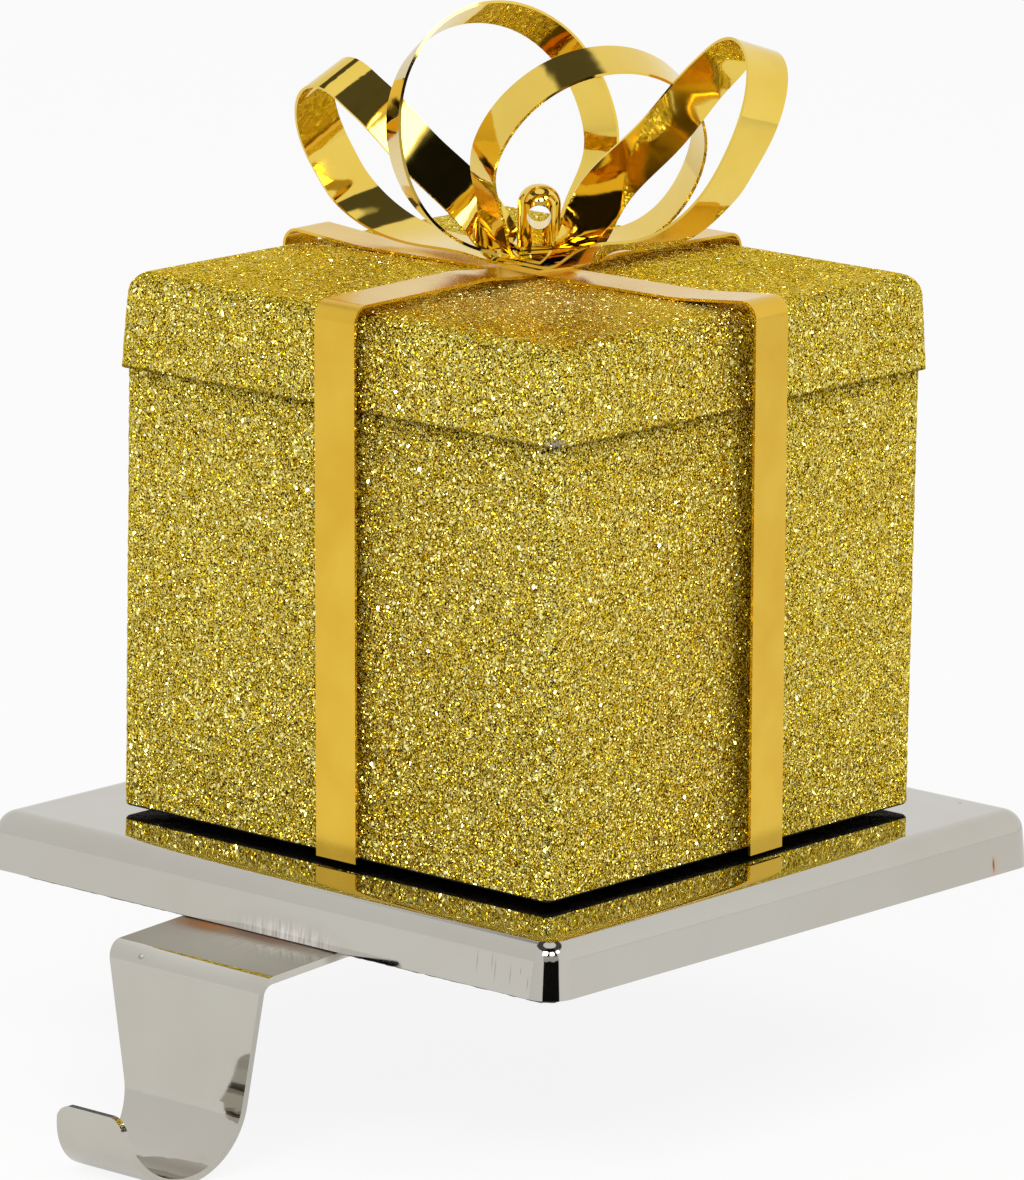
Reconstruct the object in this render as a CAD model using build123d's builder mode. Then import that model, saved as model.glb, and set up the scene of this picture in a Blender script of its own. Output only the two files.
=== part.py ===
from build123d import *
import os
from math import cos, pi, radians, sin, tan

# Mantel stocking holder: a weighted plated base with a J hook under its front edge, and a glitter
# gift box bolted on top, tied with two metal ribbons and a bow bent from two metal strips.
# Millimetres. The origin is the middle of the foot pad's underside, which stands on the mantel.
# +Z is up, and the hook hangs over the mantel's edge towards -Y.

# Base: a pressed cap, open below, with an iron slab inside and a felt pad underneath
base_side = 102.0
base_corner = 4.0
base_height = 7.7
base_draft = 6.0
base_top_round = 3.0
base_sheet = 0.9
ballast_gap = 0.5
ballast_corner = 3.0
ballast_chamfer = 2.2
pad_thickness = 1.6
pad_inset = 3.4
pad_corner = 3.0

# Hook: one strip of sheet, a tang under the base, a bend, a tapering drop and a J
hook_sheet = 1.0
tang_width = 27.6
tang_tail = 9.0
tang_tail_corner = 4.0
tang_fall = 1.0
recess_gap = 0.3
hook_face = 65.4
hook_bend = 1.35
hook_drop = 17.1
hook_curl = 8.4
hook_tip_rise = 0.9
hook_tip_width = 11.0
hook_tip_corner = 2.6

# Screw that ties the stack together, a little off the base's middle
bolt_x = 1.65
bolt_y = 1.42
bolt_diameter = 4.0
bolt_head = 8.0
bolt_socket = 2.5
bolt_socket_depth = 1.1
bolt_gap = 0.2

# Gift box: a washer, an open box and a tapered tray lid that jams on the box
box_x = 0.5
box_y = 0.45
spacer_diameter = 40.0
spacer_thickness = 0.83
box_side = 76.0
box_edge = 1.2
box_height = 65.8
box_sheet = 0.8
lid_depth = 13.0
lid_draft = 4.0
lid_play = 0.4
lid_fit = 0.03
lid_sheet = 0.6
lid_top_round = 3.0

# Ribbons: two inverted U strips that cross under the bow and stand off the box
ribbon_width = 7.0
ribbon_thickness = 0.4
ribbon_bend = 2.0
ribbon_leg_gap = 0.7
cross_yaw = 2.3
cross_stand_off = 1.1
cross_lift = 1.2
cross_flat = 27.0
cross_lean = 1.5
cross_ease = 40.0
long_stand_off = 0.45
long_crest = 0.7
long_crest_out = 13.0
long_flat = 6.0
long_end_rise = 0.3
long_lean = 1.5
long_ease = 20.0

# Bow: two strips, each bent into two loops, with flat passes stacked on the screw
strip_width = 7.0
strip_thickness = 0.4
strip_gap = 0.2
strip_flat = 8.0
loops_heading = -6.0
rings_heading = 62.0
bend_points = 9

# Left loop: heading and lean of its plane, length, rise, belly at its end and how it hangs under
left_heading = 171.5
left_lean = 29.0
left_length = 41.0
left_rise = 35.0
left_belly = 17.2
left_hang = 13.8
left_edge_heading = (75.5, 88.0)
left_edge_tip = (2.0, 44.0)

# Right loop, in the same terms
right_heading = -24.0
right_lean = 27.5
right_length = 49.0
right_rise = 46.0
right_belly = 17.3
right_hang = 12.7
right_edge_heading = (111.0, 47.5)
right_edge_tip = (-14.0, -21.0)

# Rear ring: heading and lean of its plane, its middle out from the screw and up, and its half sizes
rear_heading = 67.0
rear_lean = 17.5
rear_out = -3.7
rear_up = 18.1
rear_half_width = 15.3
rear_half_height = 16.6
rear_turn = (215.0, -45.0)
rear_edge_heading = (139.5, 177.0)
rear_edge_tip = (-8.0, -31.0)

# Front ring, in the same terms
front_heading = 63.5
front_lean = -23.0
front_out = 4.6
front_up = 16.9
front_half_width = 15.5
front_half_height = 15.4
front_turn = (215.0, -50.0)
front_edge_heading = (160.5, 139.5)
front_edge_tip = (10.5, 20.0)

# Post: a domed nut with a cross hole for a tightening pin
post_diameter = 5.8
post_height = 7.75
post_round = 2.7
post_hole = 3.2
post_hole_up = 3.75
post_hole_heading = -49.4
post_thread = 2.1
thread_gap = 0.05

# Heights up the stack
rim_level = pad_thickness
plate_level = rim_level + base_height
box_level = plate_level + spacer_thickness
lid_over_box = lid_play + lid_sheet / cos(radians(lid_draft))
lid_side = box_side + 2 * lid_over_box
lid_edge = box_edge + lid_over_box
lid_drop = min((lid_play - lid_fit) / tan(radians(lid_draft)), lid_depth - lid_sheet)
lid_level = box_level + box_height - lid_drop
lid_top = lid_level + lid_depth
cross_top = lid_top + ribbon_thickness
bow_level = cross_top + ribbon_thickness
pass_pitch = strip_thickness + strip_gap
rings_level = bow_level + 3 * pass_pitch
post_level = rings_level + 2 * pass_pitch + strip_thickness

# Shared places and bores
bolt_radius = bolt_diameter / 2
bolt_bore = bolt_radius + bolt_gap
bolt_axis = Vector(bolt_x, bolt_y, 0)
up = Vector(0, 0, 1)
tang_under = rim_level - hook_sheet

os.makedirs("parts", exist_ok=True)


def bolt_hole(level):
    """Plane at a height on the screw's axis, to place the screw's clearance hole."""
    return Plane((bolt_x, bolt_y, level))


# Base shell
with BuildPart() as base_shell:
    with BuildSketch(Plane.XY.offset(rim_level)):
        RectangleRounded(base_side, base_side, base_corner)
    extrude(amount=base_height, taper=base_draft)
    fillet(base_shell.faces().sort_by(Axis.Z)[-1].edges(), base_top_round)
    offset(amount=-base_sheet, openings=base_shell.faces().sort_by(Axis.Z)[0])
    with Locations(bolt_hole(plate_level)):
        Hole(bolt_bore, base_sheet + bolt_gap)
base_shell.part.label = "base_shell"
export_step(base_shell.part, "parts/base_shell.step")

# Iron slab in the shell, sunk round the screw's head where the head comes through the tang
ballast_height = base_height - base_sheet
ballast_side = base_side - 2 * (base_sheet + ballast_height * tan(radians(base_draft)) + ballast_gap)
head_above_tang = bolt_head / 2 - hook_sheet
with BuildPart() as ballast:
    with BuildSketch(Plane.XY.offset(rim_level)):
        RectangleRounded(ballast_side, ballast_side, ballast_corner)
    extrude(amount=ballast_height)
    chamfer(ballast.faces().sort_by(Axis.Z)[-1].edges(), ballast_chamfer)
    with Locations(Plane((bolt_x, bolt_y, rim_level), z_dir=-up)):
        CounterSinkHole(bolt_bore, head_above_tang + bolt_gap, counter_sink_angle=90)
ballast.part.label = "ballast"
export_step(ballast.part, "parts/ballast.step")

# Felt pad with a recess for the tang
pad_side = base_side - 2 * pad_inset
pad_edge = -pad_side / 2
tang_end = bolt_y + tang_tail
with BuildPart() as foot_pad:
    with BuildSketch():
        RectangleRounded(pad_side, pad_side, pad_corner)
    extrude(amount=pad_thickness)
    with BuildSketch(Plane.XY.offset(pad_thickness)):
        with Locations((0, pad_edge)):
            Rectangle(
                tang_width + 2 * recess_gap,
                tang_end + recess_gap - pad_edge,
                align=(Align.CENTER, Align.MIN),
            )
    extrude(amount=-hook_sheet, mode=Mode.SUBTRACT)
foot_pad.part.label = "foot_pad"
export_step(foot_pad.part, "parts/foot_pad.step")

# Hook: the tang lies flat under the slab and falls a little from the pad's edge to the bend.
# The bend, drop and J are one sweep that narrows evenly to the tip.
tang_middle = rim_level - hook_sheet / 2
drop_middle = hook_sheet / 2 - hook_face
bend_middle = hook_bend + hook_sheet / 2
curl_middle = hook_curl + hook_sheet / 2
with BuildLine(Plane.YZ) as hook_line:
    FilletPolyline(
        (pad_edge, tang_middle),
        (drop_middle, tang_middle - tang_fall),
        (drop_middle, -hook_drop),
        radius=bend_middle,
    )
    curl = CenterArc((drop_middle - curl_middle, -hook_drop), curl_middle, 0, -180)
    Line(curl @ 1, curl @ 1 + up * hook_tip_rise)
fall, *narrowing_edges = hook_line.wires()[0].order_edges()
narrowing = Wire(narrowing_edges)
hook_taper = (tang_width - hook_tip_width) / 2 / narrowing.length
hook_tip_level = hook_tip_rise - hook_drop
with BuildPart() as hook:
    with BuildSketch(Plane.XY.offset(tang_under)):
        with Locations((0, pad_edge)):
            Rectangle(tang_width, tang_end - pad_edge, align=(Align.CENTER, Align.MIN))
    extrude(amount=hook_sheet)
    fillet(hook.edges().filter_by(Axis.Z).group_by(Axis.Y)[-1], tang_tail_corner)
    with BuildSketch(Plane(fall @ 0, x_dir=(1, 0, 0), z_dir=(0, -1, 0))):
        Rectangle(tang_width, hook_sheet)
    with BuildSketch(Plane(fall @ 1, x_dir=(1, 0, 0), z_dir=fall % 1)) as bend_start:
        Rectangle(tang_width, hook_sheet)
    loft()
    with BuildSketch(Plane(narrowing @ 1, x_dir=(1, 0, 0), z_dir=up), mode=Mode.PRIVATE) as hook_tip:
        Rectangle(hook_tip_width, hook_sheet)
    sweep(
        sections=[bend_start.sketch.face(), hook_tip.sketch.face()],
        path=narrowing,
        multisection=True,
    )
    with BuildSketch(Plane.XZ.offset(2 * curl_middle - drop_middle)):
        with BuildLine():
            corner = RadiusArc(
                (hook_tip_width / 2 - hook_tip_corner, hook_tip_level),
                (hook_tip_width / 2 + hook_tip_corner * hook_taper, hook_tip_level - hook_tip_corner),
                hook_tip_corner,
            )
            above = corner @ 0 + Vector(0, hook_sheet)
            Polyline(corner @ 0, above, (tang_width / 2, above.Y), (tang_width / 2, -hook_drop), corner @ 1)
        make_face()
        mirror(about=Plane.YZ)
    extrude(amount=hook_curl / 2, both=True, mode=Mode.SUBTRACT)
    with Locations(Plane((bolt_x, bolt_y, tang_under), z_dir=-up)):
        CounterSinkHole(bolt_bore, bolt_head / 2, counter_sink_angle=90)
hook.part.label = "hook"
export_step(hook.part, "parts/hook.step")

# Tie screw: countersunk head under the tang, shank up into the post
with BuildPart() as tie_screw:
    with BuildSketch(Plane(bolt_axis, x_dir=(1, 0, 0), z_dir=(0, -1, 0))):
        with BuildLine():
            Polyline(
                (0, tang_under),
                (bolt_head / 2, tang_under),
                (bolt_radius, tang_under + bolt_head / 2 - bolt_radius),
                (bolt_radius, post_level + post_thread - thread_gap),
                (0, post_level + post_thread - thread_gap),
                close=True,
            )
        make_face()
    revolve(axis=Axis(bolt_axis, up))
    with BuildSketch(bolt_hole(tang_under)):
        RegularPolygon(bolt_socket / 2, 6, major_radius=False)
    extrude(amount=bolt_socket_depth, mode=Mode.SUBTRACT)
tie_screw.part.label = "tie_screw"
export_step(tie_screw.part, "parts/tie_screw.step")

# Washer that holds the box off the plate
with BuildPart() as box_spacer:
    with BuildSketch(bolt_hole(plate_level)):
        Circle(spacer_diameter / 2)
        Circle(bolt_bore, mode=Mode.SUBTRACT)
    extrude(amount=spacer_thickness)
box_spacer.part.label = "box_spacer"
export_step(box_spacer.part, "parts/box_spacer.step")

# Box, open at the top
with BuildPart() as box_body:
    with BuildSketch(Plane((box_x, box_y, box_level))):
        RectangleRounded(box_side, box_side, box_edge)
    extrude(amount=box_height)
    offset(amount=-box_sheet, openings=box_body.faces().sort_by(Axis.Z)[-1])
    with Locations(bolt_hole(box_level + box_sheet)):
        Hole(bolt_bore, box_sheet + bolt_gap)
box_body.part.label = "box_body"
export_step(box_body.part, "parts/box_body.step")

# Lid, a tapered tray
with BuildPart() as box_lid:
    with BuildSketch(Plane((box_x, box_y, lid_level))):
        RectangleRounded(lid_side, lid_side, lid_edge)
    extrude(amount=lid_depth, taper=lid_draft)
    fillet(box_lid.faces().sort_by(Axis.Z)[-1].edges(), lid_top_round)
    offset(amount=-lid_sheet, openings=box_lid.faces().sort_by(Axis.Z)[0])
    with Locations(bolt_hole(lid_top)):
        Hole(bolt_bore, lid_sheet + bolt_gap)
box_lid.part.label = "box_lid"
export_step(box_lid.part, "parts/box_lid.step")

# Ribbons: each lies through the screw's axis, centred on the box, with a crown over the lid
leg_end = plate_level + ribbon_leg_gap


def ribbon(heading, stand_off, corner_level, crown, ease, lean):
    """Ribbon from its underside's line: crown and bends extruded across, legs lofted to leaning ends."""
    along = Vector(1, 0, 0).rotate(Axis.Z, heading)
    across = up.cross(along)
    middle = bolt_axis + along * (Vector(box_x, box_y, 0) - bolt_axis).dot(along)
    half_span = lid_side / 2 + stand_off
    leg_top = corner_level - 2 * ribbon_bend
    bends = [(half_span, corner_level), *crown]
    points = [(half_span, leg_top), *bends]
    points += [(-out, level) for out, level in reversed(points)]
    radii = [ribbon_bend] + [ease] * (2 * len(crown)) + [ribbon_bend]
    with BuildPart() as strip:
        with BuildSketch(Plane(middle, x_dir=along, z_dir=-across)):
            with BuildLine():
                underside = FilletPolyline(*points, radius=radii)
                offset(underside, amount=ribbon_thickness, side=Side.RIGHT)
            make_face()
        extrude(amount=ribbon_width / 2, both=True)
        for side in (-1, 1):
            leg = middle + along * side * (half_span + ribbon_thickness / 2)
            with BuildSketch(Plane(leg + up * leg_top, x_dir=along)):
                Rectangle(ribbon_thickness, ribbon_width)
            with BuildSketch(Plane(leg + up * leg_end + across * lean, x_dir=along)):
                Rectangle(ribbon_thickness, ribbon_width)
            loft()
        with Locations(bolt_hole(bow_level)):
            Hole(bolt_bore, bow_level - lid_top)
    return strip


ribbon_cross = ribbon(
    heading=cross_yaw,
    stand_off=cross_stand_off,
    corner_level=lid_top + cross_lift,
    crown=[(cross_flat, lid_top)],
    ease=cross_ease,
    lean=cross_lean,
)
ribbon_cross.part.label = "ribbon_cross"
export_step(ribbon_cross.part, "parts/ribbon_cross.step")

ribbon_long = ribbon(
    heading=90,
    stand_off=long_stand_off,
    corner_level=cross_top + long_end_rise,
    crown=[(long_crest_out, cross_top + long_crest), (long_flat, cross_top)],
    ease=long_ease,
    lean=-long_lean,
)
ribbon_long.part.label = "ribbon_long"
export_step(ribbon_long.part, "parts/ribbon_long.step")

# Bow: the bend points of a loop lie in its leaning plane, above the bow's seat on the screw's axis


def level_direction(heading):
    """Level unit vector at a heading from +X, in degrees."""
    return Vector(1, 0, 0).rotate(Axis.Z, heading)


def in_plane(heading, lean, out, rise):
    """Point at a distance out and a height up a plane that leans about its heading."""
    side = level_direction(heading + 90)
    tilted = up * cos(radians(lean)) + side * sin(radians(lean))
    return bolt_axis + up * bow_level + level_direction(heading) * out + tilted * rise


def ramp(first, last):
    """Evenly changing values, one for each bend point."""
    return [first + (last - first) * step / (bend_points - 1) for step in range(bend_points)]


def swell(first, middle):
    """Values that rise to the middle bend point and fall back, one for each bend point."""
    return [first + (middle - first) * sin(pi * step / (bend_points - 1)) for step in range(bend_points)]


def teardrop(heading, lean, length, rise, belly, hang):
    """Bend points of a teardrop loop, out along its under leg and back along its upper leg."""
    points = []
    for step in range(bend_points):
        turn = 2 * pi * (step + 2) / (bend_points + 3)
        out = length * (1 - cos(turn)) / 2
        drop = (belly + hang * cos(turn / 2)) * sin(turn) * sin(turn / 2) ** 2
        tilt = radians(rise)
        along = out * cos(tilt) + drop * sin(tilt)
        above = out * sin(tilt) - drop * cos(tilt)
        points.append(in_plane(heading, lean, along, above))
    return points


def ring(heading, lean, out, rise, half_width, half_height, turn):
    """Bend points of an oval ring, from its first leg over its top to its last leg."""
    points = []
    for angle in ramp(*turn):
        along = out + half_width * cos(radians(angle))
        above = rise + half_height * sin(radians(angle))
        points.append(in_plane(heading, lean, along, above))
    return points


def strip_section(place, tangent, edge_heading, edge_tip):
    """Section of a strip square to its path, its width turned to the edge's heading and tip."""
    edge = level_direction(edge_heading) * cos(radians(edge_tip)) + up * sin(radians(edge_tip))
    width_direction = edge - tangent * edge.dot(tangent)
    with BuildSketch(Plane(place, x_dir=width_direction, z_dir=tangent)) as section:
        Rectangle(strip_width, strip_thickness)
    return section.sketch.face()


def loop_sections(points, heading, leave, arrive, level, edge_headings, edge_tips):
    """Sections of one loop, from the end of one flat pass round its bend points to the next pass."""
    out = level_direction(heading)
    start = bolt_axis + up * level + out * leave * strip_flat / 2
    end = bolt_axis + up * (level + pass_pitch) + out * arrive * strip_flat / 2
    with BuildLine() as path:
        Spline(start, *points, end, tangents=(out * leave, out * -arrive), tangent_scalars=(1, 1))
    curve = path.edge()
    flat_heading = heading + 90
    stations = [0, *(curve.param_at_point(point) for point in points), 1]
    headings = [flat_heading, *edge_headings, flat_heading]
    tips = [0, *edge_tips, 0]
    sections = []
    for here in range(len(stations) - 1):
        for share in (0, 0.5):
            station = stations[here] + (stations[here + 1] - stations[here]) * share
            edge_heading = headings[here] + (headings[here + 1] - headings[here]) * share
            edge_tip = tips[here] + (tips[here + 1] - tips[here]) * share
            sections.append(strip_section(curve @ station, curve % station, edge_heading, edge_tip))
    sections.append(strip_section(curve @ 1, curve % 1, flat_heading, 0))
    return sections


def bow_strip(heading, level, first_loop, second_loop):
    """One strip of the bow: three flat passes stacked on the screw, and two loops between them."""
    with BuildPart() as strip:
        for step in range(3):
            seat = bolt_axis + up * (level + step * pass_pitch)
            with BuildSketch(Plane(seat, x_dir=level_direction(heading))):
                Rectangle(strip_flat, strip_width)
            extrude(amount=strip_thickness / 2, both=True)
        loft(sections=first_loop)
        loft(sections=second_loop)
        with Locations(bolt_hole(post_level)):
            Hole(bolt_bore, post_level - bow_level)
    return strip


loops_middle = bow_level + strip_thickness / 2
left_loop = loop_sections(
    points=teardrop(left_heading, left_lean, left_length, left_rise, left_belly, left_hang),
    heading=loops_heading,
    leave=-1,
    arrive=-1,
    level=loops_middle,
    edge_headings=ramp(*left_edge_heading),
    edge_tips=ramp(*left_edge_tip),
)
right_loop = loop_sections(
    points=teardrop(right_heading, right_lean, right_length, right_rise, right_belly, right_hang),
    heading=loops_heading,
    leave=1,
    arrive=1,
    level=loops_middle + pass_pitch,
    edge_headings=ramp(*right_edge_heading),
    edge_tips=ramp(*right_edge_tip),
)
bow_loops = bow_strip(loops_heading, loops_middle, left_loop, right_loop)
bow_loops.part.label = "bow_loops"
export_step(bow_loops.part, "parts/bow_loops.step")

rings_middle = rings_level + strip_thickness / 2
rear_ring = loop_sections(
    points=ring(rear_heading, rear_lean, rear_out, rear_up, rear_half_width, rear_half_height, rear_turn),
    heading=rings_heading,
    leave=-1,
    arrive=1,
    level=rings_middle,
    edge_headings=ramp(*rear_edge_heading),
    edge_tips=swell(*rear_edge_tip),
)
front_ring = loop_sections(
    points=ring(
        front_heading, front_lean, front_out, front_up, front_half_width, front_half_height, front_turn
    ),
    heading=rings_heading,
    leave=-1,
    arrive=1,
    level=rings_middle + pass_pitch,
    edge_headings=ramp(*front_edge_heading),
    edge_tips=swell(*front_edge_tip),
)
bow_rings = bow_strip(rings_heading, rings_middle, rear_ring, front_ring)
bow_rings.part.label = "bow_rings"
export_step(bow_rings.part, "parts/bow_rings.step")

# Post: a domed nut on the screw's end, with a cross hole for a tightening pin
with BuildPart() as post_nut:
    with Locations(bolt_hole(post_level)):
        Cylinder(post_diameter / 2, post_height, align=(Align.CENTER, Align.CENTER, Align.MIN))
    fillet(post_nut.faces().sort_by(Axis.Z)[-1].edges(), post_round)
    with BuildSketch(bolt_hole(post_level)):
        Circle(bolt_radius + thread_gap)
    extrude(amount=post_thread, mode=Mode.SUBTRACT)
    hole_place = bolt_axis + up * (post_level + post_hole_up)
    with BuildSketch(Plane(hole_place, z_dir=level_direction(post_hole_heading))):
        Circle(post_hole / 2)
    extrude(amount=post_diameter, both=True, mode=Mode.SUBTRACT)
post_nut.part.label = "post_nut"
export_step(post_nut.part, "parts/post_nut.step")
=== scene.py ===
import bpy
import math
import random
from mathutils import Matrix, Vector, noise
from mathutils.bvhtree import BVHTree


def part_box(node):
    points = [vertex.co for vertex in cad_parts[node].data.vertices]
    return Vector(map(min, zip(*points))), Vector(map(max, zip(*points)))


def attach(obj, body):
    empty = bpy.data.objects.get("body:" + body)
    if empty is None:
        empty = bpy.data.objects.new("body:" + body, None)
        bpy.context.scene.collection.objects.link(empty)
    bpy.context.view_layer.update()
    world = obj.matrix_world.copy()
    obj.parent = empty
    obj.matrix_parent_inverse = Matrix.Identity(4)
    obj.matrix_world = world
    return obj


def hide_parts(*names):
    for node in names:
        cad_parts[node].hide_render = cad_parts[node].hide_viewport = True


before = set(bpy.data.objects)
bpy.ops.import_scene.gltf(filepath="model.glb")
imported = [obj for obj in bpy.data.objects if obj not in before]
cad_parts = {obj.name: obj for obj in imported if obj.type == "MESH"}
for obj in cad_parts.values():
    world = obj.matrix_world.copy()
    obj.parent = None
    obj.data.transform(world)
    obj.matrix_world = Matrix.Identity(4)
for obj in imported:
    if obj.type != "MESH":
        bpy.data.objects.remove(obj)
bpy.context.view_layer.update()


# Foot pad: a square of charcoal felt stuck under the base, so that the iron doesn't scratch the
# mantel. It is cut from 1.6 mm felt with a slot for the hook's tang, and its cut edges are fuzzy.
MM = 0.001
felt_weave = 0.62 * MM
felt_fuzz = 0.10 * MM
fuzz_per_metre = 900
fuzz_seed = 5
felt_stretch = 4.0
felt_dark = (0.012, 0.012, 0.014, 1)
felt_light = (0.085, 0.083, 0.082, 1)


def new_finish(name):
    """A blank node material, with its tree and its shader ready to wire."""
    made = bpy.data.materials.new(name)
    made.use_nodes = True
    return made, made.node_tree, made.node_tree.nodes["Principled BSDF"]


def wire(tree, node, inputs):
    """Gives each input of a node a plain value or joins it to a socket."""
    for key, value in inputs.items():
        if isinstance(value, bpy.types.NodeSocket):
            tree.links.new(value, node.inputs[key])
        else:
            node.inputs[key].default_value = value


def add_node(tree, kind, inputs=None, **settings):
    """One node with its settings set and its inputs wired."""
    node = tree.nodes.new(kind)
    for name, value in settings.items():
        setattr(node, name, value)
    wire(tree, node, inputs or {})
    return node


def place_in_frame(tree):
    """The point on the piece, in the frame's own metres."""
    return add_node(tree, "ShaderNodeTexCoord").outputs["Object"]


def colour_steps(tree, factor, stops):
    """Colours along a factor from 0 to 1, each stop a place and a colour."""
    node = add_node(tree, "ShaderNodeValToRGB", {"Fac": factor})
    elements = node.color_ramp.elements
    elements[0].position, elements[0].color = stops[0]
    elements[1].position, elements[1].color = stops[-1]
    for place, colour in stops[1:-1]:
        elements.new(place).color = colour
    return node.outputs["Color"]


def grain(tree, place, per_metre, detail=2.0, rough=0.5):
    """Soft random grey, with about so many features to the metre."""
    inputs = {"Vector": place, "Scale": per_metre, "Detail": detail, "Roughness": rough}
    return add_node(tree, "ShaderNodeTexNoise", inputs).outputs["Fac"]


def bump(tree, height, strength, distance):
    """Tiny relief, for the way a shader's surface faces."""
    inputs = {"Height": height, "Strength": strength, "Distance": distance}
    return add_node(tree, "ShaderNodeBump", inputs).outputs["Normal"]


def new_piece(name, mesh, finish_made, slot, *nodes):
    """A piece of the scene's own that stands for nodes of the frame."""
    piece = bpy.data.objects.new(name, mesh)
    bpy.context.scene.collection.objects.link(piece)
    piece.data.materials.clear()
    piece.data.materials.append(finish_made)
    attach(piece, "root")
    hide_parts(*nodes)
    return piece


felt, tree, shader = new_finish("charcoal_felt")
place = place_in_frame(tree)
fibres = grain(tree, place, per_metre=2600, detail=4.0, rough=0.7)
tufts = grain(tree, place, per_metre=420)
wire(tree, shader, {
    "Base Color": colour_steps(tree, fibres, [(0.3, felt_dark), (0.75, felt_light)]),
    "Roughness": 0.95,
    "Sheen Weight": 0.5,
    "Sheen Roughness": 0.6,
    "Normal": bump(tree, tufts, strength=0.6, distance=0.3 * MM),
})

# The felting works on a pad stretched upward, so that the thin felt under the tang keeps two faces.
felt_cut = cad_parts["foot_pad"].data.copy()
for point in felt_cut.vertices:
    point.co.z *= felt_stretch
foot_felt = new_piece("foot_felt", felt_cut, felt, "felt", "foot_pad")
felting = foot_felt.modifiers.new("felting", "REMESH")
felting.mode = "VOXEL"
felting.voxel_size = felt_weave
settled = foot_felt.evaluated_get(bpy.context.evaluated_depsgraph_get())
felted = bpy.data.meshes.new_from_object(settled)
foot_felt.modifiers.clear()
foot_felt.data = felted

# The pad is drawn in by the height of its fuzz, so that the fuzz stays within the cut size.
low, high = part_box("foot_pad")
middle = (low + high) / 2
drawn_in = Vector([1 - 2 * felt_fuzz / side for side in high - low])
noise.seed_set(fuzz_seed)
for point in felted.vertices:
    point.co.z /= felt_stretch
    fuzz = noise.noise_vector(point.co * fuzz_per_metre) * felt_fuzz
    point.co = middle + (point.co - middle) * drawn_in + fuzz
felted.materials.clear()
felted.materials.append(felt)
felted.shade_smooth()


# Base: a square cap pressed from steel sheet and nickel plated to a mirror, open below. It has
# fine upright scratches by its front corner and brushed hairs over the hook, a dark speck on top
# and a rust mark at one lower edge. A painted reflection of the tang darkens its front wall
# over the hook.
front_wall, right_wall = -51, 51
nickel = (0.555, 0.535, 0.48, 1)
nickel_dull = (0.53, 0.50, 0.44, 1)
scratch_grey = (0.22, 0.19, 0.16, 1)
rust = (0.20, 0.075, 0.025, 1)
rust_bloom = (0.66, 0.40, 0.25, 1)
speck_grey = (0.12, 0.11, 0.10, 1)
painted_reflection_dark = (0.36, 0.33, 0.28, 1)
brushed_pale = (0.90, 0.87, 0.82, 1)
rubs_along, rubs_across = 60, 2600
rub_relief = 0.06


def dress(name, finish_made):
    """Gives a node of the frame its finish."""
    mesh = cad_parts[name].data
    mesh.materials.clear()
    mesh.materials.append(finish_made)


def maths(tree, operation, *values, clamp=False):
    """Numbers put together by one operation."""
    inputs = dict(enumerate(values))
    node = add_node(tree, "ShaderNodeMath", inputs, operation=operation, use_clamp=clamp)
    return node.outputs["Value"]


def vectors(tree, operation, *values):
    """Vectors put together by one operation, which gives a vector or a plain number."""
    node = add_node(tree, "ShaderNodeVectorMath", dict(enumerate(values)), operation=operation)
    return node.outputs["Value" if operation in ("LENGTH", "DOT_PRODUCT") else "Vector"]


def mapped(tree, value, start, end, low=0.0, high=1.0, ease="LINEAR"):
    """A value between start and end turned into one between low and high."""
    inputs = {"Value": value, "From Min": start, "From Max": end, "To Min": low, "To Max": high}
    return add_node(tree, "ShaderNodeMapRange", inputs, interpolation_type=ease).outputs["Result"]


def blended(tree, share, first, second):
    """Two colours mixed by a share from 0 to 1."""
    inputs = {0: share, 6: first, 7: second}
    return add_node(tree, "ShaderNodeMix", inputs, data_type="RGBA").outputs[2]


def spot(tree, place, centre, reach, strength):
    """A share that is strongest at a centre and fades out at a reach each way, both in mm."""
    away = vectors(tree, "SUBTRACT", place, [c * MM for c in centre])
    far = vectors(tree, "LENGTH", vectors(tree, "DIVIDE", away, [r * MM for r in reach]))
    return mapped(tree, far, 1.0, 0.1, high=strength, ease="SMOOTHSTEP")


def plated(name, streak_along, marks, dulled=None):
    """Nickel plate: a mirror with faint waves and rubs along it, marks on its colour, of wear and
    on the base of painted reflection, and one place that may have lost its shine. A mark is its
    centre and its reach in mm, its colour, its strength, and whether only the rubbed hairs carry
    it."""
    made, tree, shader = new_finish(name)
    place = place_in_frame(tree)
    clouds = grain(tree, place, per_metre=55, detail=3.0)
    stretch = [rubs_along if along else rubs_across for along in streak_along]
    drawn = add_node(tree, "ShaderNodeMapping", {"Vector": place, "Scale": stretch})
    rubs = grain(tree, drawn.outputs["Vector"], per_metre=1.0, detail=3.0, rough=0.6)
    hairs = mapped(tree, rubs, 0.38, 0.62)
    tint = colour_steps(tree, clouds, [(0.25, nickel_dull), (0.6, nickel)])
    for centre, reach, colour, strength, in_hairs in marks:
        share = spot(tree, place, centre, reach, strength)
        if in_hairs:
            share = maths(tree, "MULTIPLY", share, hairs)
        tint = blended(tree, share, tint, colour)
    rough = mapped(tree, rubs, 0.0, 1.0, low=0.02, high=0.09)
    if dulled:
        rough = maths(tree, "ADD", rough, spot(tree, place, *dulled))
    waves = grain(tree, place, per_metre=70, detail=1.0)
    relief = maths(tree, "ADD", waves, maths(tree, "MULTIPLY", rubs, rub_relief))
    wire(tree, shader, {
        "Base Color": tint,
        "Metallic": 1.0,
        "Roughness": rough,
        "Normal": bump(tree, relief, strength=0.10, distance=0.2 * MM),
    })
    return made


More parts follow.
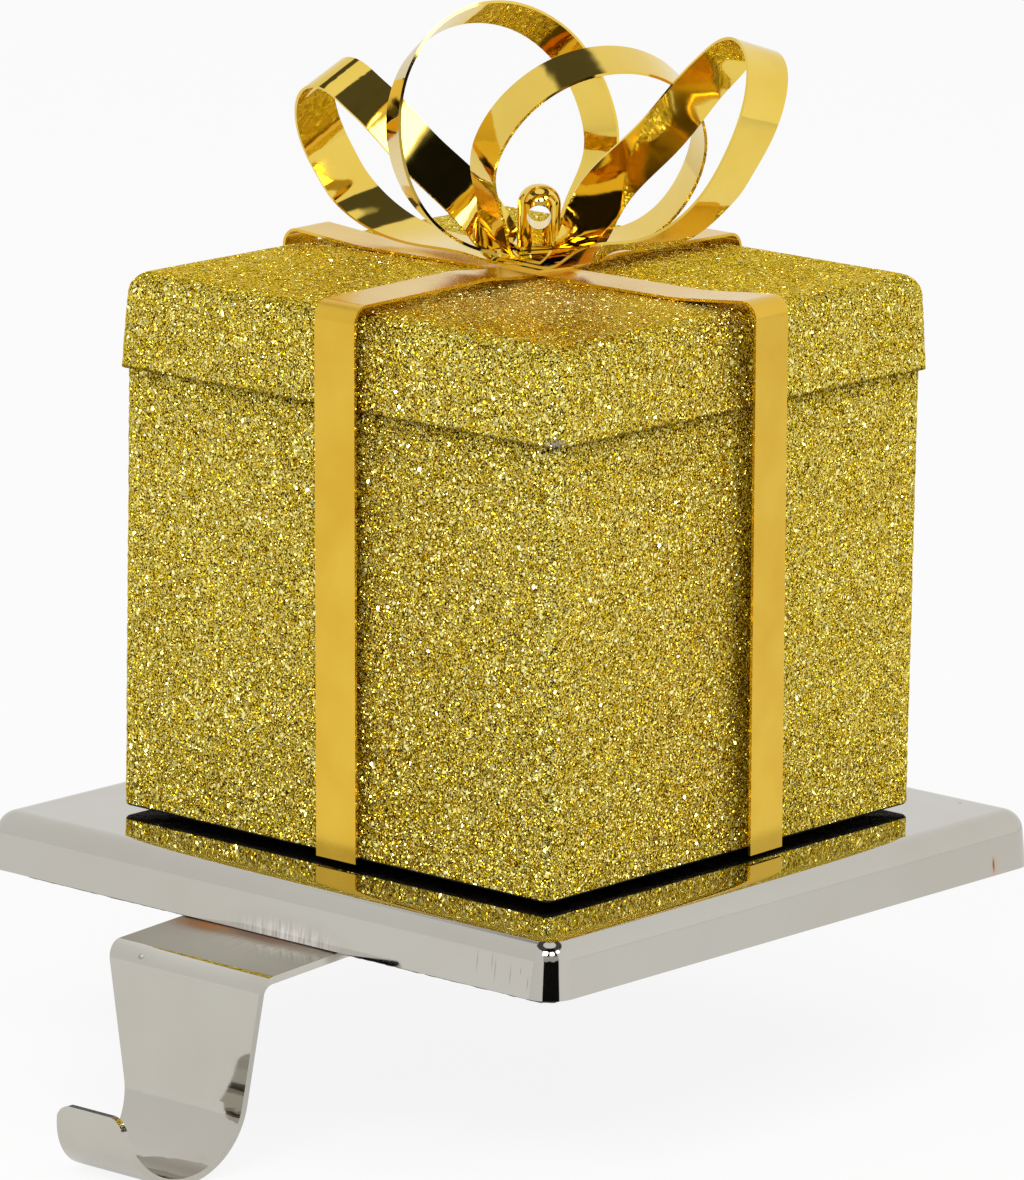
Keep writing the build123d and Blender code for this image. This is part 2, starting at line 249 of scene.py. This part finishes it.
# Each scratch is its place along the front wall, its height and half its length.
scratch_half = 0.13
scratches = [
    (37.9, 5.0, 2.2),
    (40.4, 5.4, 1.6),
    (41.0, 4.4, 2.4),
    (43.6, 4.2, 2.0),
    (45.3, 5.0, 0.7),
    (46.6, 3.6, 1.3),
]
base_marks = []
for along, level, tall in scratches:
    centre = along, front_wall, level
    base_marks.append((centre, (scratch_half, 3, tall), scratch_grey, 0.55, False))
base_marks += [
    ((right_wall, 41.6, 2.9), (3, 1.3, 2.4), rust_bloom, 0.45, False),
    ((right_wall, 41.4, 3.1), (3, 0.34, 1.5), rust, 0.9, False),
    ((41.3, 45.9, 9.3), (0.45, 0.45, 1), speck_grey, 0.8, False),
    # Painted reflection: a darker zone on the front wall where it mirrors the tang; the pale hairs
    # below are real brushing.
    ((5, front_wall, 2.0), (14, 3, 3.8), painted_reflection_dark, 0.4, False),
    ((5, front_wall, 1.6), (13, 3, 3.4), brushed_pale, 0.7, True),
]
dress("base_shell", plated("nickel_base", (False, False, True), base_marks))


# Ballast: a slab of grey cast iron inside the cap, which keeps the holder on the mantel when a
# stocking pulls on the hook. Sand-cast and left as it came.
iron_dark = (0.03, 0.028, 0.027, 1)
iron_grey = (0.10, 0.095, 0.09, 1)
iron, tree, shader = new_finish("cast_iron")
sand = grain(tree, place_in_frame(tree), per_metre=900, detail=5.0, rough=0.65)
wire(tree, shader, {
    "Base Color": colour_steps(tree, sand, [(0.3, iron_dark), (0.7, iron_grey)]),
    "Metallic": 0.6,
    "Roughness": 0.62,
    "Normal": bump(tree, sand, strength=0.5, distance=0.2 * MM),
})
dress("ballast", iron)


# Hook: one strip of plated sheet, folded down over the mantel's edge and curled into a J. Its tang
# is brushed where it goes under the base, and a brown stain has crept out along the base's edge.
# A small dent shows near its bend.
stain_orange = (0.50, 0.24, 0.10, 1)
stain_brown = (0.30, 0.20, 0.14, 1)
hook_marks = [
    ((0, -58, 1), (22, 11, 4), brushed_pale, 0.45, False),
    ((3, -54.0, 1), (13, 5, 4), brushed_pale, 0.8, True),
    ((1, -51.6, 1), (18, 3.2, 4), stain_brown, 1.0, False),
    ((-9.0, -52.2, 1), (8, 3.8, 4), stain_orange, 1.0, False),
    ((-8.0, -65.4, -0.4), (0.75, 2, 0.5), scratch_grey, 0.8, False),
    ((-7.9, -65.4, -0.3), (0.4, 2, 0.28), brushed_pale, 1.0, False),
]
hook_stain = (0, -51.6, 1), (26, 4.0, 4), 0.7
dress("hook", plated("nickel_hook", (False, True, True), hook_marks, hook_stain))


# Washer: a black rubber disc punched from sheet, round the screw between the plate and the box. It
# holds the box just off the plate and leaves a dark gap there.
rubber_black = (0.006, 0.006, 0.006, 1)
rubber_grey = (0.02, 0.02, 0.021, 1)
rubber, tree, shader = new_finish("black_rubber")
skin = grain(tree, place_in_frame(tree), per_metre=700, detail=3.0)
wire(tree, shader, {
    "Base Color": colour_steps(tree, skin, [(0.2, rubber_black), (0.8, rubber_grey)]),
    "Roughness": 0.6,
    "Normal": bump(tree, skin, strength=0.3, distance=0.1 * MM),
})
dress("box_spacer", rubber)


# Gift box: a tin box, open at the top under its lid, coated outside with glue and gold glitter.
# Each flake lies at its own tilt, so the coat is rough and its flakes flash or go dark. Inside and
# underneath the tin is bare and nearly black.
box_centre = Vector((0.5, 0.45, 0)) * MM
body_half, body_corner = 38.0, 1.2
body_low, body_high = 10.13, 75.93
body_edge = 0.3
body_sheet = 0.8
body_inside_corner = 0.5
bolt_hole = 2.4
points_round = 512
row_pitch = 0.6
sharp_angle = math.radians(50)
coat_depth = 0.11
coat_seed = 7
flake = 0.165 * MM
big_flake = 0.40 * MM
big_flake_share = 0.07
flake_tilt = 1.0
flake_brown = (0.06, 0.022, 0.0005, 1)
flake_olive = (0.55, 0.345, 0.002, 1)
flake_gold = (0.95, 0.71, 0.016, 1)
flake_pale = (1.0, 0.94, 0.38, 1)
flake_edge = (1.0, 0.76, 0.15, 1)
# Painted shade: a brown that stands for the shade beside the ribbons and at and under the lid's
# lower edge.
painted_shade_brown = (0.085, 0.045, 0.006, 1)
tin_black = (0.004, 0.0035, 0.003, 1)
tin_brown = (0.012, 0.010, 0.008, 1)


def height_fade(tree, place, start, end, strength):
    """A share that grows from 0 at one height to a strength at another, both in mm."""
    level = add_node(tree, "ShaderNodeSeparateXYZ", {"Vector": place}).outputs["Z"]
    return mapped(tree, level, start * MM, end * MM, high=strength, ease="SMOOTHSTEP")


def by_chance(tree, flakes):
    """A number from 0 to 1 for each flake, drawn by chance."""
    inputs = {"Vector": flakes.outputs["Position"]}
    return add_node(tree, "ShaderNodeTexWhiteNoise", inputs).outputs["Value"]


def glittered(name, marks, shade_band):
    """A coat of gold flakes, each with a tilt and a shade of its own, with painted shade and
    painted light in places. A mark is its centre and its reach in mm, its colour and its strength.
    The shade band is two heights in mm, between which the coat fades to painted shade, and a
    strength."""
    made, tree, shader = new_finish(name)
    place = place_in_frame(tree)
    flakes = add_node(tree, "ShaderNodeTexVoronoi", {"Vector": place, "Scale": 1 / flake})
    large = add_node(tree, "ShaderNodeTexVoronoi", {"Vector": place, "Scale": 1 / big_flake})
    is_large = maths(tree, "GREATER_THAN", by_chance(tree, large), 1 - big_flake_share)
    by_flake = blended(tree, is_large, flakes.outputs["Color"], large.outputs["Color"])
    tilt = vectors(tree, "SUBTRACT", by_flake, (0.5, 0.5, 0.5))
    turned = vectors(tree, "MULTIPLY", tilt, [2 * flake_tilt] * 3)
    faced = add_node(tree, "ShaderNodeNewGeometry").outputs["Normal"]
    lies = vectors(tree, "NORMALIZE", vectors(tree, "ADD", faced, turned))
    stops = [(0.16, flake_brown), (0.27, flake_olive), (0.5, flake_gold), (0.97, flake_pale)]
    tint = colour_steps(tree, by_chance(tree, flakes), stops)
    tint = blended(tree, is_large, tint, flake_pale)
    patchy = grain(tree, place, per_metre=2200)
    shares = []
    for centre, reach, colour, strength in marks:
        shares.append((spot(tree, place, centre, reach, 2.0 * strength), colour))
    # The shade band paints shade between two heights.
    shares.append((height_fade(tree, place, *shade_band), painted_shade_brown))
    for share, colour in shares:
        broken = maths(tree, "MULTIPLY", share, patchy, clamp=True)
        tint = blended(tree, broken, tint, colour)
    wire(tree, shader, {
        "Base Color": tint,
        "Metallic": 1.0,
        "Specular Tint": flake_edge,
        "Roughness": 0.2,
        "Normal": lies,
    })
    return made


def square_point(half, corner, share):
    """Point and outward direction at a share of the way round a square with rounded corners."""
    quarter = int(share * 4)
    straight = half - corner
    arc = corner * math.pi / 2
    along = (share * 4 - quarter) * (2 * straight + arc)
    if along < straight:
        point, faces = Vector((half, along, 0)), Vector((1, 0, 0))
    elif along < straight + arc:
        angle = (along - straight) / corner
        faces = Vector((math.cos(angle), math.sin(angle), 0))
        point = Vector((straight, straight, 0)) + faces * corner
    else:
        point, faces = Vector((2 * straight + arc - along, half, 0)), Vector((0, 1, 0))
    turn = Matrix.Rotation(math.radians(90 * quarter), 3, "Z")
    return turn @ point, turn @ faces


def loop_shell(name, loops, settle=None):
    """A closed skin over a ring of loops. Each loop is its half width, corner, height and coat,
    which is how far flakes lie in from the skin, or below 0 where they lie down from it."""
    points = []
    chance = random.Random(coat_seed)
    for half, corner, level, coat in loops:
        for step in range(points_round):
            point, faces = square_point(half, corner, step / points_round)
            point.z = level
            point = box_centre + point * MM
            if settle:
                point = settle(point)
            if coat < 0:
                faces = Vector((0, 0, 1))
            points.append(point - faces * chance.random() * abs(coat) * MM)
    skin = []
    coated = []
    for row in range(len(loops)):
        next_row = (row + 1) % len(loops)
        for step in range(points_round):
            next_step = (step + 1) % points_round
            corners = (row, step), (row, next_step), (next_row, next_step), (next_row, step)
            skin.append([r * points_round + s for r, s in corners])
            coated.append(loops[row][3] != 0 and loops[next_row][3] != 0)
    mesh = bpy.data.meshes.new(name)
    mesh.from_pydata(points, [], skin)
    mesh.shade_smooth()
    mesh.set_sharp_from_angle(angle=sharp_angle)
    return mesh, coated


def coat_faces(piece, coated, bare):
    """Leaves the faces that carry no glitter in bare tin."""
    piece.data.materials.append(bare)
    for face, has_glitter in zip(piece.data.polygons, coated):
        face.material_index = 0 if has_glitter else 1


tin, tree, shader = new_finish("dark_tin")
oxide = grain(tree, place_in_frame(tree), per_metre=800, detail=3.0)
wire(tree, shader, {
    "Base Color": colour_steps(tree, oxide, [(0.3, tin_black), (0.8, tin_brown)]),
    "Roughness": 0.6,
    "Specular IOR Level": 0.2,
})

body_loops = [
    (bolt_hole, bolt_hole, body_low, 0),
    (body_half - body_edge, body_corner - body_edge, body_low, 0),
]
coat_tall = body_high - body_low - body_edge
coat_rows = round(coat_tall / row_pitch)
for row in range(coat_rows + 1):
    level = body_low + body_edge + coat_tall * row / coat_rows
    body_loops.append((body_half, body_corner, level, coat_depth))
body_loops += [
    (body_half - body_sheet, body_inside_corner, body_high, 0),
    (body_half - body_sheet, body_inside_corner, body_low + body_sheet, 0),
    (bolt_hole, bolt_hole, body_low + body_sheet, 0),
]
body_mesh, body_coated = loop_shell("box_coat", body_loops)
# Painted shade: brown beside each ribbon leg, where the leg stands off the box and shades it, and a
# band on the body just under the lid's edge.
body_painted_shade = [
    ((3.2, -37.6, 40), (4.4, 3, 55), painted_shade_brown, 0.75),
    ((38.5, 2.9, 40), (3, 6.5, 55), painted_shade_brown, 0.75),
]
body_shade_band = 67.5, 71.0, 0.6
body_finish = glittered("gold_glitter_box", body_painted_shade, body_shade_band)
box_coat = new_piece("box_coat", body_mesh, body_finish, "glitter", "box_body")
coat_faces(box_coat, body_coated, tin)


# Lid: a shallow tray pressed from the same tin with a rounded top edge, jammed over the box. A line
# of painted shade runs along its lower edge, and the coat is worn through to grey tin at the front
# corner.
lid_half, lid_corner = 39.0, 2.2
lid_low, lid_high = 70.64, 83.64
lid_round = 3.0
lid_sheet = 0.6
lid_draft = math.tan(math.radians(4))
lid_crown_corner = 1.5
lid_inside_corner = 0.8
lid_mouth_corner = 1.0
wall_rows, round_rows, top_rows = 17, 8, 55
coat_thins = 20
off_lid = 0.35
worn_tin = (0.42, 0.37, 0.28, 1)


def lid_reach(level):
    """Half width of the lid's drafted wall at a height."""
    return lid_half - (level - lid_low) * lid_draft


pressed = BVHTree.FromPolygons(
    [point.co.copy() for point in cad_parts["box_lid"].data.vertices],
    [list(face.vertices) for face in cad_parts["box_lid"].data.polygons],
)


def on_lid(point):
    """Nearest place on the pressed lid."""
    return pressed.find_nearest(point)[0]


# The loops lie a little off the pressed lid and settle on it. They go up the wall, round the top
# edge, in to the bolt hole and back out along the inside. Near the hole the coat thins out.
shoulder = lid_high - lid_round
crown = lid_reach(shoulder) - lid_round
bulge = lid_round + off_lid
lid_loops = []
for row in range(wall_rows + 1):
    level = lid_low + (shoulder - lid_low) * row / wall_rows
    lid_loops.append((lid_reach(level) + off_lid, lid_corner + off_lid, level, coat_depth))
for row in range(1, round_rows):
    turn = math.radians(90 * row / round_rows)
    half = crown + bulge * math.cos(turn)
    corner = lid_crown_corner + lid_crown_corner * math.cos(turn)
    lid_loops.append((half, corner, shoulder + bulge * math.sin(turn), coat_depth))
for row in range(top_rows + 1):
    half = crown + (bolt_hole - crown) * row / top_rows
    corner = lid_crown_corner + (bolt_hole - lid_crown_corner) * row / top_rows
    coat = -coat_depth * min(1, half / coat_thins)
    lid_loops.append((half, min(corner, half), lid_high + off_lid, coat))
ceiling = lid_high - lid_sheet - off_lid
lid_loops += [
    (bolt_hole, bolt_hole, ceiling, 0),
    (lid_reach(lid_high) - lid_round, lid_inside_corner, ceiling, 0),
    (lid_reach(shoulder) - lid_sheet - off_lid, lid_inside_corner, shoulder, 0),
    (lid_half - lid_sheet - off_lid, lid_mouth_corner, lid_low + off_lid, 0),
]
lid_mesh, lid_coated = loop_shell("lid_coat", lid_loops, on_lid)
# The first two marks are painted shade beside the ribbon legs; the last is real wear to grey tin.
lid_wear_shade_and_light = [
    ((3.4, -38.6, 77), (4.5, 3, 11), painted_shade_brown, 0.6),
    ((39.2, -1.0, 77), (3, 5, 11), painted_shade_brown, 0.6),
    # Painted light: paler flakes brighten the front of the lid's top and a patch by the right
    # ribbon.
    ((10, -13, 84), (25, 22, 3), flake_pale, 0.9),
    ((31, -3, 84), (10, 6, 3), flake_pale, 0.7),
    ((39.2, -38.6, 71.2), (2.6, 2.6, 1.0), worn_tin, 1.2),
]
# Painted shade: a dark line along the lid's lower edge.
lid_shade_line = 71.3, 70.7, 1.6
lid_finish = glittered("gold_glitter_lid", lid_wear_shade_and_light, lid_shade_line)
lid_coat = new_piece("lid_coat", lid_mesh, lid_finish, "glitter", "box_lid")
coat_faces(lid_coat, lid_coated, tin)


# Ribbons: two strips of gold lacquered metal bent to an inverted U. One crosses over the other
# under the bow, and both stand a little off the box so that their legs throw a shadow on it.
ribbon_gold = (0.82, 0.535, 0.065, 1)
ribbon_gold_deep = (0.76, 0.46, 0.045, 1)


def lacquered(name, deep, pale, low_rough, high_rough, ripple):
    """Gold lacquer over polished metal, with soft clouds in its shine and faint ripples."""
    made, tree, shader = new_finish(name)
    place = place_in_frame(tree)
    clouds = grain(tree, place, per_metre=120, detail=3.0)
    smears = grain(tree, place, per_metre=480, detail=4.0, rough=0.6)
    ripples = grain(tree, place, per_metre=150)
    wire(tree, shader, {
        "Base Color": colour_steps(tree, clouds, [(0.3, deep), (0.65, pale)]),
        "Metallic": 1.0,
        "Roughness": mapped(tree, smears, 0.0, 1.0, low=low_rough, high=high_rough),
        "Normal": bump(tree, ripples, strength=ripple, distance=0.2 * MM),
    })
    return made


ribbon_finish = lacquered(
    "gold_ribbon", ribbon_gold_deep, ribbon_gold, low_rough=0.12, high_rough=0.26, ripple=0.12
)
dress("ribbon_cross", ribbon_finish)
dress("ribbon_long", ribbon_finish)


# Bow: two strips of the same metal, each bent into two loops and clamped where they cross. Their
# gold is paler and more polished, and mirrors the box, the white surround and the dark room.
bow_gold = (0.88, 0.635, 0.12, 1)
bow_gold_deep = (0.84, 0.585, 0.095, 1)
bow_finish = lacquered(
    "gold_bow", bow_gold_deep, bow_gold, low_rough=0.02, high_rough=0.09, ripple=0.06
)
dress("bow_loops", bow_finish)
dress("bow_rings", bow_finish)


# Post: a domed brass nut with a cross hole for a tool, lacquered like the bow. It is screwed down
# on the bow and holds the strips, the ribbons and the lid in place.
dress("post_nut", bow_finish)


# Screw: a long plain steel screw up the middle of the stack. Its head lies under the base, in the
# hook's tang, and its end is screwed into the post.
steel_grey = (0.40, 0.39, 0.38, 1)
steel_bright = (0.52, 0.51, 0.50, 1)
steel, tree, shader = new_finish("screw_steel")
turned_marks = grain(tree, place_in_frame(tree), per_metre=1500, detail=3.0)
wire(tree, shader, {
    "Base Color": colour_steps(tree, turned_marks, [(0.3, steel_grey), (0.7, steel_bright)]),
    "Metallic": 1.0,
    "Roughness": mapped(tree, turned_marks, 0.0, 1.0, low=0.25, high=0.4),
})
dress("tie_screw", steel)


# Floor: a plain white sheet just under the hook, which takes the holder's soft shadow. It ends a
# hand's width in front of the holder, so that the base's front corner mirrors the dark room there.
floor_gap = 0.2 * MM
floor_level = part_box("hook")[0].z - floor_gap
floor_reach = 6.0
floor_front = 0.19
front_turn = math.radians(40.61)
room_front = Vector((math.sin(front_turn), -math.cos(front_turn), 0))
room_right = Vector((math.cos(front_turn), math.sin(front_turn), 0))
sheet_white = (0.82, 0.82, 0.82, 1)
pure_white = (1, 1, 1, 1)
glow_seen, glow_in_metal = 0.88, 0.45


def ray_kinds(tree):
    """Whether a ray is seen straight from the camera, and whether it comes by metal or glass."""
    path = add_node(tree, "ShaderNodeLightPath").outputs
    by_metal = maths(tree, "MAXIMUM", path["Is Glossy Ray"], path["Is Transmission Ray"])
    return path["Is Camera Ray"], by_metal


def mixed(tree, share, first, second):
    """Two shaders mixed by a share from 0 to 1."""
    inputs = {0: share, 1: first, 2: second}
    return add_node(tree, "ShaderNodeMixShader", inputs).outputs["Shader"]


white, tree, shader = new_finish("white_sheet")
wire(tree, shader, {"Base Color": sheet_white, "Roughness": 0.9, "Specular IOR Level": 0.0})
glow = add_node(tree, "ShaderNodeEmission", {"Color": pure_white, "Strength": 1.0})
seen, by_metal = ray_kinds(tree)
direct = maths(tree, "MULTIPLY", seen, glow_seen)
in_metal = maths(tree, "MULTIPLY", by_metal, glow_in_metal)
share = maths(tree, "MAXIMUM", direct, in_metal)
sheet = mixed(tree, share, shader.outputs["BSDF"], glow.outputs["Emission"])
wire(tree, tree.nodes["Material Output"], {"Surface": sheet})
bpy.ops.mesh.primitive_grid_add(size=floor_reach, x_subdivisions=8, y_subdivisions=8)
floor = bpy.context.object
floor.name = "floor"
floor.rotation_euler.z = front_turn
floor.location = room_front * (floor_front - floor_reach / 2) + Vector((0, 0, floor_level))
floor.data.materials.append(white)


# Studio: a white tent with a dark opening at the front, a dark gap round its roof, a bright roof,
# and a grey screen and soft boxes in the opening. Metal mirrors all of it, and the lamps stand at
# the soft boxes.
tent_left, tent_right = 0.84, 0.96
panel_soft = 1.5
room_light = 0.65

# Each panel is its left, right, lower and upper edge in degrees, and how bright it is.
roof_gap = (-200, 200, 51, 70, 0.08)
opening = (-24, 40, -60, 71, 0.006)
screen = (-26, 42, 6, 28, 0.5)
roof = (-200, 200, 71, 120, 0.95)
soft_boxes = [(-31, -12, 29, 49, 1.0), (4, 22, 29, 47, 1.0), (35, 60, 38, 51, 1.0)]

world = bpy.data.worlds.new("studio")
bpy.context.scene.world = world
world.use_nodes = True
tree = world.node_tree
room = add_node(tree, "ShaderNodeTexCoord").outputs["Generated"]


def ahead(direction):
    """How far a direction of the room points along another."""
    return vectors(tree, "DOT_PRODUCT", room, direction)


def between(value, low, high):
    """A share that is 1 between two angles, with soft ends."""
    rise = mapped(tree, value, low - panel_soft, low + panel_soft, ease="SMOOTHSTEP")
    fall = mapped(tree, value, high + panel_soft, high - panel_soft, ease="SMOOTHSTEP")
    return maths(tree, "MULTIPLY", rise, fall)


def background(colour, strength):
    """Light from all round the room."""
    inputs = {"Color": colour, "Strength": strength}
    return add_node(tree, "ShaderNodeBackground", inputs).outputs["Background"]


round_room = maths(tree, "DEGREES", maths(tree, "ARCTAN2", ahead(room_right), ahead(room_front)))
up_room = maths(tree, "DEGREES", maths(tree, "ARCSINE", ahead((0, 0, 1))))
walls = mapped(tree, ahead(room_right), -1.0, 1.0, low=tent_left, high=tent_right)
for left, right, low, high, bright in [roof_gap, opening, screen, roof, *soft_boxes]:
    panel = maths(tree, "MULTIPLY", between(round_room, left, right), between(up_room, low, high))
    inputs = {0: panel, 2: walls, 3: bright}
    walls = add_node(tree, "ShaderNodeMix", inputs, data_type="FLOAT").outputs[0]
seen, by_metal = ray_kinds(tree)
shown = mixed(tree, by_metal, background(pure_white, room_light), background(walls, 1.0))
shown = mixed(tree, seen, shown, background(pure_white, 1.0))
wire(tree, tree.nodes["World Output"], {"Surface": shown})

lamp_away = 1.3
lamp_aim = Vector((0, 0, 0.05))


def soft_lamp(name, round_angle, lift_angle, size, watts):
    """A square soft lamp, placed by its angle round from the front and its angle up in degrees."""
    turn, lift = math.radians(round_angle), math.radians(lift_angle)
    level = room_front * math.cos(turn) + room_right * math.sin(turn)
    towards = level * math.cos(lift) + Vector((0, 0, math.sin(lift)))
    lamp = bpy.data.lights.new(name, "AREA")
    lamp.size = size
    lamp.energy = watts
    holder = bpy.data.objects.new(name, lamp)
    bpy.context.scene.collection.objects.link(holder)
    holder.location = towards * lamp_away + lamp_aim
    holder.rotation_euler = towards.to_track_quat("Z", "Y").to_euler()


soft_lamp("lamp_left", -21.5, 39, size=0.42, watts=6.0)
soft_lamp("lamp_middle", 13, 38, size=0.38, watts=3.0)
soft_lamp("lamp_right", 47.5, 44.5, size=0.32, watts=1.8)


# Camera: a long lens well back from the holder and a little above it, facing its front corner. It
# is aimed at the middle of the box and rolled by about a degree.
view_lift = math.radians(12.70)
view_roll = math.radians(1.01)
view_away = 1.187
aim_right, aim_up = -0.56 * MM, 39.86 * MM
image_width = 1024
lens_pixels = 8780
sensor = 36.0
back = room_front * math.cos(view_lift) + Vector((0, 0, math.sin(view_lift)))
above = back.cross(room_right)
right_rolled = room_right * math.cos(view_roll) + above * math.sin(view_roll)
above_rolled = above * math.cos(view_roll) - room_right * math.sin(view_roll)
aim = room_right * aim_right + Vector((0, 0, aim_up))
lens = bpy.data.cameras.new("camera")
lens.sensor_fit = "HORIZONTAL"
lens.sensor_width = sensor
lens.lens = lens_pixels / image_width * sensor
lens.clip_start = 0.05
lens.clip_end = 50
camera = bpy.data.objects.new("camera", lens)
bpy.context.scene.collection.objects.link(camera)
axes = Matrix((right_rolled, above_rolled, back)).transposed().to_4x4()
camera.matrix_world = Matrix.Translation(aim + back * view_away) @ axes
bpy.context.scene.camera = camera
bpy.context.scene.view_settings.view_transform = "Standard"
